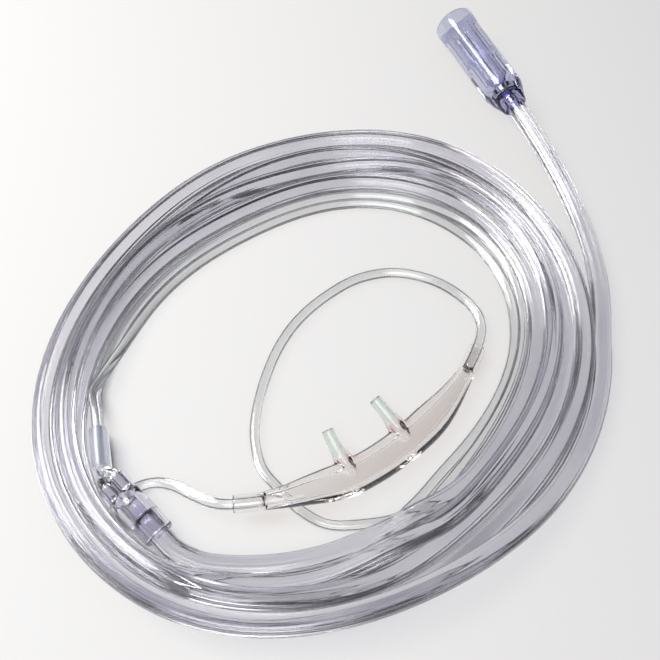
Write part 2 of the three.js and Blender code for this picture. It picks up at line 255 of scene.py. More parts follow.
def join_and_cut(
    body: bpy.types.Object,
    added: list[bpy.types.Object],
    cut: list[bpy.types.Object],
    voxel: float,
    smoothing: int,
) -> bpy.types.Object:
    """Joins rods to a body, cuts others from it, and melts the whole into one moulding.

    Args:
        body: The solid that the result starts from.
        added: The solids that are joined to it.
        cut: The solids that are taken away.
        voxel: The size of the final mesh's faces, in millimetres.
        smoothing: How often its points are smoothed.

    Returns:
        The body's object with its new mesh.
    """
    for tool in added + cut:
        modifier = body.modifiers.new(tool.name, "BOOLEAN")
        modifier.operation = "UNION" if tool in added else "DIFFERENCE"
        modifier.solver = "EXACT"
        modifier.object = tool
    remesh = body.modifiers.new("moulding", "REMESH")
    remesh.mode = "VOXEL"
    remesh.voxel_size = voxel * MM
    bpy.context.view_layer.update()
    depsgraph = bpy.context.evaluated_depsgraph_get()
    melted = bpy.data.meshes.new_from_object(body.evaluated_get(depsgraph))
    body.modifiers.clear()
    old = body.data
    body.data = melted
    bpy.data.meshes.remove(old)
    for tool in added + cut:
        mesh = tool.data
        bpy.data.objects.remove(tool)
        bpy.data.meshes.remove(mesh)
    bm = bmesh.new()
    bm.from_mesh(melted)
    for _ in range(smoothing):
        bmesh.ops.smooth_vert(
            bm, verts=bm.verts, factor=0.5, use_axis_x=True, use_axis_y=True, use_axis_z=True
        )
    bmesh.ops.recalc_face_normals(bm, faces=bm.faces)
    for face in bm.faces:
        face.smooth = True
    bm.to_mesh(melted)
    bm.free()
    return body


class NodeSheet:
    """A shader tree with short ways to add and join nodes."""

    def __init__(self, tree: bpy.types.NodeTree) -> None:
        """Starts on an empty tree."""
        self.tree = tree
        tree.nodes.clear()

    def add(self, kind: str, inputs: dict | None = None, **settings: object) -> bpy.types.Node:
        """Adds a node.

        Args:
            kind: Blender's name for the node's type.
            inputs: Values or sockets for its inputs, by name or number.
            **settings: Properties of the node.

        Returns:
            The new node.
        """
        node = self.tree.nodes.new(kind)
        for name, value in settings.items():
            setattr(node, name, value)
        for key, value in (inputs or {}).items():
            if isinstance(value, bpy.types.NodeSocket):
                self.tree.links.new(value, node.inputs[key])
            else:
                node.inputs[key].default_value = value
        return node

    def maths(self, operation: str, first: object, second: object = 0.0) -> bpy.types.NodeSocket:
        """Adds a Math node and returns its value."""
        return self.add("ShaderNodeMath", {0: first, 1: second}, operation=operation).outputs[0]

    def blend(self, share: object, start: object, end: object) -> bpy.types.NodeSocket:
        """Mixes two colours.

        Args:
            share: How much of the second colour shows.
            start: The first colour.
            end: The second colour.

        Returns:
            The mixed colour's socket.
        """
        node = self.add("ShaderNodeMix", data_type="RGBA")
        for key, value in ((0, share), (6, start), (7, end)):
            if isinstance(value, bpy.types.NodeSocket):
                self.tree.links.new(value, node.inputs[key])
            else:
                node.inputs[key].default_value = (*value, 1.0) if isinstance(value, tuple) else value
        return node.outputs[2]


def shader_group(
    name: str, takes: dict[str, str], gives: dict[str, str]
) -> tuple[NodeSheet, dict[str, bpy.types.NodeSocket], bpy.types.Node]:
    """Starts a node group with named inputs and outputs.

    Args:
        name: The group's name.
        takes: The inputs, as name and socket type.
        gives: The outputs, as name and socket type.

    Returns:
        The group's sheet, its input sockets by name, and its output node.
    """
    tree = bpy.data.node_groups.new(name, "ShaderNodeTree")
    for side, sockets in (("INPUT", takes), ("OUTPUT", gives)):
        for socket, kind in sockets.items():
            tree.interface.new_socket(name=socket, in_out=side, socket_type=kind)
    sheet = NodeSheet(tree)
    entry = sheet.add("NodeGroupInput")
    return sheet, {socket: entry.outputs[socket] for socket in takes}, sheet.add("NodeGroupOutput")


def make_cloud_group() -> bpy.types.NodeTree:
    """Builds the faint cloudiness that soft vinyl shows.

    Returns:
        The group, which gives a colour, a height and a mask of the cloudy places.
    """
    sheet, given, out = shader_group(
        "vinyl_cloud",
        {
            "Place": "NodeSocketVector",
            "Scale": "NodeSocketFloat",
            "Clear": "NodeSocketColor",
            "Cloudy": "NodeSocketColor",
        },
        {"Color": "NodeSocketColor", "Height": "NodeSocketFloat", "Mask": "NodeSocketFloat"},
    )
    noise = sheet.add(
        "ShaderNodeTexNoise", {"Vector": given["Place"], "Scale": given["Scale"], "Detail": 1.0}
    )
    share = sheet.add(
        "ShaderNodeMapRange", {"Value": noise.outputs["Fac"], "From Min": 0.35, "From Max": 0.7}
    ).outputs["Result"]
    colour = sheet.blend(share, given["Clear"], given["Cloudy"])
    sheet.tree.links.new(colour, out.inputs["Color"])
    sheet.tree.links.new(noise.outputs["Fac"], out.inputs["Height"])
    sheet.tree.links.new(share, out.inputs["Mask"])
    return sheet.tree


def make_drawn_group() -> bpy.types.NodeTree:
    """Builds the lines of a drawn tube: a fine slanting hatch in patches, and long draw marks.

    Returns:
        The group, which gives both as one height.
    """
    hatch_starts = 3.0
    patches_per_metre = 18.0
    draw_marks = 16.0
    draw_depth = 0.3
    sheet, given, out = shader_group(
        "drawn_lines",
        {
            "Along": "NodeSocketFloat",
            "Round X": "NodeSocketFloat",
            "Round Y": "NodeSocketFloat",
            "Pitch": "NodeSocketFloat",
        },
        {"Height": "NodeSocketFloat"},
    )
    angle = sheet.maths("ARCTAN2", given["Round Y"], given["Round X"])
    turns = sheet.maths("DIVIDE", given["Along"], given["Pitch"])
    phase = sheet.maths("MULTIPLY", turns, 2 * math.pi)
    hatch = sheet.maths("SINE", sheet.maths("ADD", phase, sheet.maths("MULTIPLY", angle, hatch_starts)))
    stretched = sheet.maths("MULTIPLY", given["Along"], patches_per_metre)
    spot = sheet.add("ShaderNodeCombineXYZ", {0: stretched})
    for number, socket in enumerate(("Round X", "Round Y"), start=1):
        sheet.tree.links.new(given[socket], spot.inputs[number])
    patches = sheet.add("ShaderNodeTexNoise", {"Vector": spot.outputs[0], "Scale": 1.0, "Detail": 0.0})
    patch = sheet.add(
        "ShaderNodeMapRange", {"Value": patches.outputs["Fac"], "From Min": 0.45, "From Max": 0.62}
    ).outputs["Result"]
    draw = sheet.maths("SINE", sheet.maths("MULTIPLY", angle, draw_marks))
    marks = sheet.maths("MULTIPLY", draw, draw_depth)
    height = sheet.maths("ADD", sheet.maths("MULTIPLY", hatch, patch), marks)
    sheet.tree.links.new(height, out.inputs["Height"])
    return sheet.tree


@dataclass(frozen=True)
class VinylFinish:
    """Clear soft vinyl: its tints, gloss and how it lets light through to its shadow."""

    name: str
    clear: Colour
    cloudy: Colour
    roughness: float = 0.04
    cloud_scale: float = 60.0
    bump: float = 0.05
    shadow: Colour = (0.975, 0.975, 0.985)
    shadow_share: float = 0.99

    def surface(self, sheet: NodeSheet) -> Surface:
        """Draws the finish's colour, roughness and height.

        Args:
            sheet: The material's node sheet.

        Returns:
            The colour, the roughness and the height.
        """
        place = sheet.add("ShaderNodeTexCoord").outputs["Object"]
        cloud = sheet.add("ShaderNodeGroup", node_tree=bpy.data.node_groups["vinyl_cloud"])
        sheet.tree.links.new(place, cloud.inputs["Place"])
        cloud.inputs["Scale"].default_value = self.cloud_scale
        cloud.inputs["Clear"].default_value = (*self.clear, 1.0)
        cloud.inputs["Cloudy"].default_value = (*self.cloudy, 1.0)
        rough = sheet.maths("MULTIPLY_ADD", cloud.outputs["Mask"], 0.05)
        rough.node.inputs[2].default_value = self.roughness
        return cloud.outputs["Color"], rough, cloud.outputs["Height"]

    def material(self) -> bpy.types.Material:
        """Builds the material: clear vinyl that lets most of the light through to its own shadow.

        Returns:
            The new material.
        """
        made = bpy.data.materials.new(self.name)
        made.use_nodes = True
        sheet = NodeSheet(made.node_tree)
        colour, rough, height = self.surface(sheet)
        bump = sheet.add("ShaderNodeBump", {"Strength": self.bump, "Distance": 0.0004, "Height": height})
        vinyl = sheet.add(
            "ShaderNodeBsdfPrincipled",
            {"Base Color": colour, "Roughness": rough, "Normal": bump.outputs["Normal"]},
        )
        vinyl.inputs["IOR"].default_value = 1.5
        vinyl.inputs["Transmission Weight"].default_value = 1.0
        vinyl.inputs["Metallic"].default_value = 0.0
        through = sheet.add("ShaderNodeBsdfTransparent", {"Color": (*self.shadow, 1.0)})
        path = sheet.add("ShaderNodeLightPath")
        share = sheet.maths("MULTIPLY", path.outputs["Is Shadow Ray"], self.shadow_share)
        mixed = sheet.add("ShaderNodeMixShader", {0: share})
        sheet.tree.links.new(vinyl.outputs["BSDF"], mixed.inputs[1])
        sheet.tree.links.new(through.outputs["BSDF"], mixed.inputs[2])
        out = sheet.add("ShaderNodeOutputMaterial")
        sheet.tree.links.new(mixed.outputs["Shader"], out.inputs["Surface"])
        return made


@dataclass(frozen=True)
class TubeFinish(VinylFinish):
    """Drawn vinyl tube, with the slanting hatch of its star-shaped bore."""

    pitch: float = 0.6

    def surface(self, sheet: NodeSheet) -> Surface:
        """Adds the drawn lines to the plain vinyl's surface.

        Args:
            sheet: The material's node sheet.

        Returns:
            The colour, the roughness and the height.
        """
        colour, rough, cloud = super().surface(sheet)
        lines = sheet.add("ShaderNodeGroup", node_tree=bpy.data.node_groups["drawn_lines"])
        for attribute, socket in (("along", "Along"), ("round_x", "Round X"), ("round_y", "Round Y")):
            read = sheet.add("ShaderNodeAttribute", attribute_name=attribute)
            sheet.tree.links.new(read.outputs["Fac"], lines.inputs[socket])
        lines.inputs["Pitch"].default_value = self.pitch * MM
        return colour, rough, sheet.maths("ADD", lines.outputs["Height"], cloud)


@dataclass(frozen=True)
class NoseFinish(VinylFinish):
    """Clear vinyl of the nosepiece, frosted at the prongs, with painted shade in warm brown in the creases
    where they grow from its body.
    """

    frost: Colour = (0.93, 0.97, 0.94)
    # Painted shade: a warm brown laid in the creases where each prong meets the body, with how far it reaches
    # and how strong it is.
    crease_shade: Colour = (0.72, 0.38, 0.33)
    middle_x: float = -1.6
    root_x: float = 2.3
    prong_x: float = 8.1
    root_y: float = 0.1
    root_z: float = 4.0
    crease_shade_reach: Pair = (1.9, 0.7)
    crease_shade_share: float = 0.9
    frost_y: Pair = (0.8, 3.0)
    frost_half_width: float = 5.0
    frost_roughness: float = 0.26

    def surface(self, sheet: NodeSheet) -> Surface:
        """Mixes the frost and the painted crease shade at the prong roots into the plain vinyl's surface.

        Args:
            sheet: The material's node sheet.

        Returns:
            The colour, the roughness and the height.
        """
        colour, rough, height = super().surface(sheet)
        place = sheet.add("ShaderNodeTexCoord").outputs["Object"]
        split = sheet.add("ShaderNodeSeparateXYZ", {0: place})
        centred = sheet.maths("SUBTRACT", split.outputs["X"], self.middle_x * MM)
        prong = sheet.maths("SUBTRACT", sheet.maths("ABSOLUTE", centred), self.prong_x * MM)
        folded = sheet.maths("ABSOLUTE", prong)
        beside = sheet.add("ShaderNodeCombineXYZ", {0: folded})
        sheet.tree.links.new(split.outputs["Y"], beside.inputs[1])
        sheet.tree.links.new(split.outputs["Z"], beside.inputs[2])
        root = (self.root_x * MM, self.root_y * MM, self.root_z * MM)
        far = sheet.add("ShaderNodeVectorMath", {0: beside.outputs[0], 1: root}, operation="DISTANCE")
        # Painted shade mask: full within 0.7 mm of each prong root's crease, gone by 1.9 mm.
        crease_shade_mask = sheet.add(
            "ShaderNodeMapRange",
            {
                "Value": far.outputs["Value"],
                "From Min": self.crease_shade_reach[0] * MM,
                "From Max": self.crease_shade_reach[1] * MM,
                "To Max": self.crease_shade_share,
            },
        )
        frosted = sheet.add(
            "ShaderNodeMapRange",
            {
                "Value": split.outputs["Y"],
                "From Min": self.frost_y[0] * MM,
                "From Max": self.frost_y[1] * MM,
            },
        )
        near = sheet.maths("LESS_THAN", folded, self.frost_half_width * MM)
        frost = sheet.maths("MULTIPLY", frosted.outputs["Result"], near)
        colour = sheet.blend(frost, colour, self.frost)
        # Lays the painted crease shade over the colour.
        colour = sheet.blend(crease_shade_mask.outputs["Result"], colour, self.crease_shade)
        rough = sheet.maths("MULTIPLY_ADD", frost, self.frost_roughness)
        rough.node.inputs[2].default_value = self.roughness
        return colour, rough, height


@dataclass(frozen=True)
class FittingFinish(VinylFinish):
    """Tinted moulding whose colour deepens where it grips a tube."""

    deep: Colour = (0.30, 0.29, 0.66)
    centre: Point = (0.0, 0.0, 0.0)
    near: float = 2.0
    far: float = 6.0
    share: float = 0.6

    def surface(self, sheet: NodeSheet) -> Surface:
        """Deepens the tint round the gripped end.

        Args:
            sheet: The material's node sheet.

        Returns:
            The colour, the roughness and the height.
        """
        colour, rough, height = super().surface(sheet)
        place = sheet.add("ShaderNodeTexCoord").outputs["Object"]
        centre = tuple(value * MM for value in self.centre)
        away = sheet.add("ShaderNodeVectorMath", {0: place, 1: centre}, operation="DISTANCE")
        grip = sheet.add(
            "ShaderNodeMapRange",
            {
                "Value": away.outputs["Value"],
                "From Min": self.far * MM,
                "From Max": self.near * MM,
                "To Max": self.share,
            },
        )
        return sheet.blend(grip.outputs["Result"], colour, self.deep), rough, height


@dataclass
class Fitting:
    """What every piece shares: it is dressed, rides on a body and stands for its CAD nodes."""

    body: str = "cannula"

    def settle_in(
        self, piece: bpy.types.Object, finish: VinylFinish, slot: str, nodes: tuple[str, ...]
    ) -> None:
        """Dresses a piece and ties it to the part.

        Args:
            piece: The finished object.
            finish: Its finish.
            slot: The material slot that it belongs to. Not used.
            nodes: The CAD nodes that it stands for.
        """
        piece.data.materials.clear()
        piece.data.materials.append(bpy.data.materials.get(finish.name) or finish.material())
        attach(piece, self.body)
        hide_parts(*nodes)


@dataclass
class Wye(Fitting):
    """The Y connector, on its own x axis from the supply socket's mouth to the two ports."""

    mouth: Point = (-56.2, 10.1, 4.5)
    heading: float = 99.4
    pitch: float = 5.0
    roll: float = -20.0
    barrel_length: float = 12.5
    barrel_radius: float = 3.95
    rim: tuple[Pair, ...] = ((0.0, 0.45), (0.15, 0.15), (0.5, 0.0))
    shoulder_length: float = 2.6
    shoulder_drop: float = 0.8
    shoulder_knee: Pair = (0.6, 0.6)
    hood_length: float = 1.0
    hood_wall: float = 0.4
    socket_depth: float = 6.0
    socket_radius: float = 2.95
    channel_radius: float = 1.9
    channel_stop: float = 1.5
    port_length: float = 5.6
    port_radius: float = 2.05
    port_bore: float = 1.6
    port_depth: float = 5.4
    port_run: float = 0.8
    port_offset: float = 1.85
    branch_radius: float = 1.0
    branch_start: float = 3.0
    branch_overlap: float = 0.5
    overrun: float = 1.0
    voxel: float = 0.2
    smoothing: int = 4

    def place(self) -> Matrix:
        """Returns the connector's place in the part's frame, in metres."""
        turn = Matrix.Rotation(math.radians(self.heading), 4, "Z")
        tilt = Matrix.Rotation(-math.radians(self.pitch), 4, "Y")
        roll = Matrix.Rotation(math.radians(self.roll), 4, "X")
        return Matrix.Translation(Vector(self.mouth) * MM) @ turn @ tilt @ roll

    def point(self, x: float, y: float = 0.0) -> Point:
        """Gives a point on the connector's own axes in the part's frame, in millimetres."""
        return tuple(self.place() @ Vector((x * MM, y * MM, 0)) / MM)

    def rod(self, name: str, start: Point, end: Point, radius: float, sides: int = 40) -> bpy.types.Object:
        """Makes a straight rod between two points of the part's frame."""
        line = np.linspace(start, end, 6)
        return solid_along(name, line, [(radius, radius)] * 6, sides)

    def build(self) -> bpy.types.Object:
        """Moulds the barrel with its hood and two ports, and bores it.

        Returns:
            The connector's object.
        """
        end = self.barrel_length
        profile = [
            (0.0, 0.0),
            *((x, self.barrel_radius - drop) for x, drop in self.rim),
            (end - self.shoulder_length, self.barrel_radius),
            (end - self.shoulder_knee[0], self.barrel_radius - self.shoulder_drop * self.shoulder_knee[1]),
            (end, self.barrel_radius - self.shoulder_drop),
            (end + self.hood_length, self.port_radius + self.hood_wall),
            (end + self.hood_length, 0.0),
        ]
        barrel = turned_solid("y_connector_dressed", profile, self.place(), 64)
        port_end = end + self.port_length
        added = []
        depth = self.socket_depth
        channel_start = self.point(depth - self.overrun)
        channel_end = self.point(end - self.channel_stop)
        cut = [
            self.rod("wye_socket", self.point(-self.overrun), self.point(depth), self.socket_radius),
            self.rod("wye_channel", channel_start, channel_end, self.channel_radius),
        ]
        for side in Side:
            y = side.value * self.port_offset
            name = side.name.lower()
            start = self.point(end - self.shoulder_length, y)
            added.append(self.rod(f"wye_port_{name}", start, self.point(port_end, y), self.port_radius))
            floor = port_end - self.port_depth
            bore_end = self.point(port_end + self.overrun, y)
            cut.append(self.rod(f"wye_bore_{name}", self.point(floor, y), bore_end, self.port_bore))
            branch_start = self.point(end - self.branch_start)
            branch_end = self.point(floor + self.branch_overlap, y)
            cut.append(self.rod(f"wye_branch_{name}", branch_start, branch_end, self.branch_radius, 20))
        piece = join_and_cut(barrel, added, cut, self.voxel, self.smoothing)
        finish = FittingFinish(
            "tinted_vinyl_wye",
            clear=(0.89, 0.88, 0.94),
            cloudy=(0.84, 0.83, 0.92),
            deep=(0.48, 0.44, 0.72),
            centre=self.point(self.socket_depth),
            near=2.6,
            far=4.2,
            share=0.5,
        )
        self.settle_in(piece, finish, "tinted_vinyl", ("y_connector",))
        return piece


@dataclass
class Slide(Fitting):
    """The soft sleeve round both lariat tubes, one above the other."""

    body: str = "slide"
    lower_end: Pair = (-59.4, 32.9)
    heading: float = 66.0
    length: float = 10.5
    wall: float = 0.55
    travel: float = 5.0
    inlet: float = 1.5
    approach: float = 1.2
    spread: float = 0.35
    bore: float = 1.6
    lane_spacing: float = 3.1
    rim_width: float = 0.18

    def lane_height(self, lane: Lane) -> float:
        """Gives the height of a lane's middle."""
        return self.bore + self.wall + lane.value * self.lane_spacing

    def point(self, distance: float, lane: Lane) -> Point:
        """Gives a point on the sleeve's straight run.

        Args:
            distance: How far it is from the sleeve's lower end, along the lariat tubes.
            lane: The level that it is on.

        Returns:
            The point, in millimetres.
        """
        angle = math.radians(self.heading)
        x = self.lower_end[0] + distance * math.cos(angle)
        return x, self.lower_end[1] + distance * math.sin(angle), self.lane_height(lane)

    def approach_point(self, side: Side, lane: Lane) -> Point:
        """Gives the point where a lariat tube draws near the other one, before the sleeve.

        Args:
            side: The tube's side.
            lane: The level that it takes through the sleeve.

        Returns:
            The point, in millimetres.
        """
        x, y, z = self.point(-self.approach, lane)
        sign = -side.value
        angle = math.radians(self.heading + 90)
        reach = sign * self.spread
        return x + reach * math.cos(angle), y + reach * math.sin(angle), z - reach

    def build(self) -> bpy.types.Object:
        """Extrudes the oval sleeve, with its rims rounded.

        Returns:
            The slide's object.
        """
        bm = bmesh.new()
        angle = math.radians(self.heading)
        start = Vector((*self.lower_end, self.lane_height(Lane.LOWER))) * MM
        along = Vector((math.cos(angle), math.sin(angle), 0))
        turn = Matrix((along.cross(Vector((0, 0, 1))), Vector((0, 0, 1)), along)).transposed().to_4x4()
        loops = []
        for radius in (self.bore + self.wall, self.bore):
            verts = bmesh.ops.create_circle(bm, segments=48, radius=radius * MM)["verts"]
            upper = [vert for vert in verts if vert.co.y > 1e-9]
            bmesh.ops.translate(bm, verts=upper, vec=(0, self.lane_spacing * MM, 0))
            loops.extend({edge for vert in verts for edge in vert.link_edges})
        ring = bmesh.ops.bridge_loops(bm, edges=loops)["faces"]
        grown = bmesh.ops.extrude_face_region(bm, geom=ring, use_keep_orig=True)["geom"]
        verts = [item for item in grown if isinstance(item, bmesh.types.BMVert)]
        bmesh.ops.translate(bm, verts=verts, vec=(0, 0, self.length * MM))
        bmesh.ops.transform(bm, matrix=Matrix.Translation(start) @ turn, verts=bm.verts)
        piece = object_of(bm, "slide_dressed")
        bevel = piece.modifiers.new("rims", "BEVEL")
        bevel.width = self.rim_width * MM
        bevel.segments = 3
        bevel.limit_method = "ANGLE"
        bevel.angle_limit = math.radians(50)
        finish = VinylFinish(
            "frosted_vinyl_slide",
            clear=(0.88, 0.90, 0.96),
            cloudy=(0.80, 0.83, 0.93),
            roughness=0.38,
            shadow=(0.95, 0.955, 0.97),
        )
        self.settle_in(piece, finish, "frosted_vinyl", ("slide",))
        return piece


@dataclass
class Nosepiece(Fitting):
    """The soft arched moulding with two prongs and a socket at each end."""

    bend_radius: float = 72.0
    half_span: float = 38.2
    middle_y: float = -4.65
    half_width: float = 4.7
    half_height: float = 2.8
    taper: Pair = (12.0, 34.0)
    lift: Pair = (9.0, 24.0)
    lift_height: float = 3.1
    socket_radius: float = 2.2
    socket_bore: float = 1.6
    socket_depth: float = 8.0
    lumen_radius: float = 1.15
    lumen_half_width: float = 2.4
    prong_spacing: float = 16.5
    prong_shift: float = -1.6
    prong_lean: float = 0.95
    prong_reach: float = 13.33
    prong_rise: float = 3.5
    prong_knee: Pair = (7.4, 0.8)
    prong_start: float = 0.08
    prong_overrun: float = 1.08
    prong_steps: int = 24
    prong_base: float = 2.15
    prong_tip: float = 1.6
    prong_flare: float = 0.45
    flare_fade: Pair = (0.25, 0.55)
    prong_wall: float = 0.55
    voxel: float = 0.26
    smoothing: int = 5

    def reach(self) -> float:
        """Gives half the angle of the bend."""
        return math.asin(self.half_span / self.bend_radius)

    def length(self) -> float:
        """Gives the length along the bend."""
        return 2 * self.bend_radius * self.reach()

    def blend(self, x: float) -> float:
        """Eases from the full body at its middle to the round sockets."""
        return smoothstep(abs(x), *self.taper)

    def height_at(self, x: float) -> float:
        """Gives the body's half height at x."""
        return lerp(self.half_height, self.socket_radius, self.blend(x))

    def point(self, share: float) -> Point:
        """Gives a point on the middle of the bend.

        Args:
            share: The share of the way from the left socket's mouth to the right one's.

        Returns:
            The point, in millimetres.
        """
        angle = (2 * share - 1) * self.reach()
        x = self.bend_radius * math.sin(angle)
        y = self.middle_y + self.bend_radius * (1 - math.cos(angle))
        return x, y, self.height_at(x) + self.lift_height * smoothstep(-x, *self.lift)

    def stretch(
        self, name: str, start: float, end: float, steps: int, width: Measure, height: Measure, sides: int
    ) -> bpy.types.Object:
        """Makes a rod along part of the bend.

        Args:
            name: The rod's name.
            start: Where it starts, as a share of the bend.
            end: Where it ends.
            steps: How many steps it has.
            width: A function of x that gives its half width.
            height: A function of x that gives its half height.
            sides: How many sides its section has.

        Returns:
            The rod's object.
        """
        line = [self.point(lerp(start, end, step / steps)) for step in range(steps + 1)]
        sizes = [(width(x), height(x)) for x, _, _ in line]
        return solid_along(name, np.array(line), sizes, sides)

    def prong(self, name: str, side: Side, start: float, end: float, radius: Measure) -> bpy.types.Object:
        """Makes a rod along one prong's curve.

        Args:
            name: The rod's name.
            side: Which prong it is.
            start: Where it starts, as a share of the curve.
            end: Where it ends.
            radius: A function of the share along the rod that gives its radius.

        Returns:
            The rod's object.
        """
        root_x = self.prong_shift + side.value * self.prong_spacing / 2
        root = np.array((root_x, self.middle_y, self.half_height))
        knee = root + np.array((0, *self.prong_knee))
        tip = root + np.array((-side.value * self.prong_lean, self.prong_reach, self.prong_rise))
        line = []
        sizes = []
        for step in range(self.prong_steps + 1):
            share = step / self.prong_steps
            t = lerp(start, end, share)
            line.append((1 - t) ** 2 * root + 2 * t * (1 - t) * knee + t**2 * tip)
            sizes.append((radius(share), radius(share)))
        return solid_along(name, np.array(line), sizes, 36)

    def build(self) -> bpy.types.Object:
        """Moulds the body with its prongs, and hollows it.

        Returns:
            The nosepiece's object.
        """

        def width(x: float) -> float:
            """Gives the body's half width at x."""
            return lerp(self.half_width, self.socket_radius, self.blend(x))

        def lumen(x: float) -> float:
            """Gives the bore's half width at x."""
            return lerp(self.lumen_half_width, self.lumen_radius, self.blend(x))

        def lumen_height(_: float) -> float:
            """Gives the bore's half height."""
            return self.lumen_radius

        def socket(_: float) -> float:
            """Gives a socket's inner radius."""
            return self.socket_bore

        def skin(share: float) -> float:
            """Gives a prong's outer radius."""
            flare = self.prong_flare * (1 - smoothstep(share, *self.flare_fade))
            return lerp(self.prong_base, self.prong_tip, share) + flare

        def bore(share: float) -> float:
            """Gives a prong's inner radius."""
            return lerp(self.prong_base, self.prong_tip, share) - self.prong_wall

        depth = self.socket_depth / self.length()
        over = 1 / self.length()
        body = self.stretch("nosepiece_dressed", 0, 1, 96, width, self.height_at, 48)
        cut = [
            self.stretch("nose_lumen", depth / 2, 1 - depth / 2, 64, lumen, lumen_height, 28),
            self.stretch("nose_left", -over, depth, 10, socket, socket, 36),
            self.stretch("nose_right", 1 - depth, 1 + over, 10, socket, socket, 36),
        ]
        added = []
        for side in Side:
            name = side.name.lower()
            added.append(self.prong(f"prong_{name}", side, self.prong_start, 1.0, skin))
        for side in Side:
            name = side.name.lower()
            cut.append(self.prong(f"prong_bore_{name}", side, 0.0, self.prong_overrun, bore))
        piece = join_and_cut(body, added, cut, self.voxel, self.smoothing)
        finish = NoseFinish(
            "clear_vinyl_nosepiece",
            clear=(0.985, 0.97, 0.965),
            cloudy=(0.96, 0.94, 0.935),
            roughness=0.07,
            bump=0.03,
            shadow=(0.985, 0.975, 0.97),
        )
        self.settle_in(piece, finish, "clear_vinyl", ("nosepiece",))
        return piece


@dataclass
class EndConnector(Fitting):
    """The ribbed socket that is pushed on an oxygen outlet, on its own x axis from the tube to the mouth."""

    tube_end: Pair = (99.7, 62.8)
    heading: float = 79.0
    axis_height: float = 6.5
    length: float = 39.0
    collar_radius: float = 3.9
    body_radius: float = 6.1
    mouth_radius: float = 6.5
    shoulder_length: float = 7.0
    flare_length: float = 7.0
    entry: Pair = (5.0, 5.3)
    bore: Pair = (19.5, 4.3)
    inner_bore: Pair = (30.0, 3.0)
    channel_radius: float = 1.9
    socket: Pair = (7.0, 2.95)
    ribs: int = 10
    rib_ends: Pair = (1.0, 0.4)
    rib_heights: Pair = (0.35, 0.3)
    rib_walls: Pair = (0.6, 0.2)

    def place(self) -> Matrix:
        """Returns the connector's place in the part's frame, in metres."""
        turn = Matrix.Rotation(math.radians(self.heading), 4, "Z")
        return Matrix.Translation(Vector((*self.tube_end, self.axis_height)) * MM) @ turn

    def point(self, x: float) -> Point:
        """Gives a point on the connector's axis, in millimetres."""
        return tuple(self.place() @ Vector((x * MM, 0, 0)) / MM)

    def profile(self) -> list[Pair]:
        """Lists the wall's outline, outside and then back along the stepped bore.

        Returns:
            The outline's points, as (distance along the axis, radius).
        """
        end = self.length
        outside = [
            (0.0, self.collar_radius - 0.3),
            (0.3, self.collar_radius),
            (1.4, self.collar_radius + 0.25),
            (4.2, self.body_radius - 0.9),
            (6.0, self.body_radius - 0.2),
            (self.shoulder_length + 0.6, self.body_radius),
        ]
        outside += [(x, self.body_radius) for x in np.linspace(10, end - self.flare_length - 1, 8)]
        outside += [
            (end - 5.5, self.body_radius + 0.1),
            (end - 3.5, self.mouth_radius - 0.12),
            (end - 1.2, self.mouth_radius),
            (end - 0.35, self.mouth_radius - 0.1),
            (end, self.mouth_radius - 0.5),
        ]
        entry_end = end - self.entry[0]
        bore_end = end - self.bore[0]
        inner_end = end - self.inner_bore[0]
        inside = [(end - 0.2, self.entry[1] + 0.25), (end - 0.8, self.entry[1]), (entry_end, self.entry[1])]
        inside += [(x, self.bore[1]) for x in np.linspace(entry_end - 0.6, bore_end, 8)]
        inside += [(x, self.inner_bore[1]) for x in np.linspace(bore_end - 0.5, inner_end + 1.0, 6)]
        inside += [
            (inner_end, self.channel_radius),
            (self.socket[0] + 0.1, self.channel_radius),
            (self.socket[0], self.socket[1]),
            (3.5, self.socket[1]),
            (0.0, self.socket[1] + 0.1),
        ]
        return outside + inside

    def build(self) -> bpy.types.Object:
        """Spins the wall and raises lengthwise ribs in its bore.

        Returns:
            The connector's object.
        """
        piece = turned_solid("end_connector_dressed", self.profile(), Matrix.Identity(4), 120)
        bm = bmesh.new()
        bm.from_mesh(piece.data)
        low = self.length - self.inner_bore[0] + self.rib_ends[0]
        high = self.length - self.entry[0] - self.rib_ends[1]
        least = self.channel_radius + self.rib_walls[0]
        most = self.bore[1] + self.rib_walls[1]
        for vert in bm.verts:
            x = vert.co.x / MM
            radius = math.hypot(vert.co.y, vert.co.z) / MM
            angle = math.atan2(vert.co.z, vert.co.y)
            if least < radius < most and low < x < high:
                height = self.rib_heights[0 if x > self.length - self.bore[0] else 1]
                ridge = math.cos(self.ribs * angle)
                scale = 1 - height / radius * max(0.0, ridge) ** 3
                vert.co.y *= scale
                vert.co.z *= scale
        bmesh.ops.transform(bm, matrix=self.place(), verts=bm.verts)
        bm.to_mesh(piece.data)
        bm.free()
        finish = FittingFinish(
            "violet_vinyl_connector",
            clear=(0.72, 0.73, 0.87),
            cloudy=(0.66, 0.67, 0.83),
            deep=(0.16, 0.14, 0.58),
            centre=self.point(2.5),
            near=3.5,
            far=9.5,
            share=0.8,
        )
        self.settle_in(piece, finish, "violet_vinyl", ("end_connector",))
        return piece


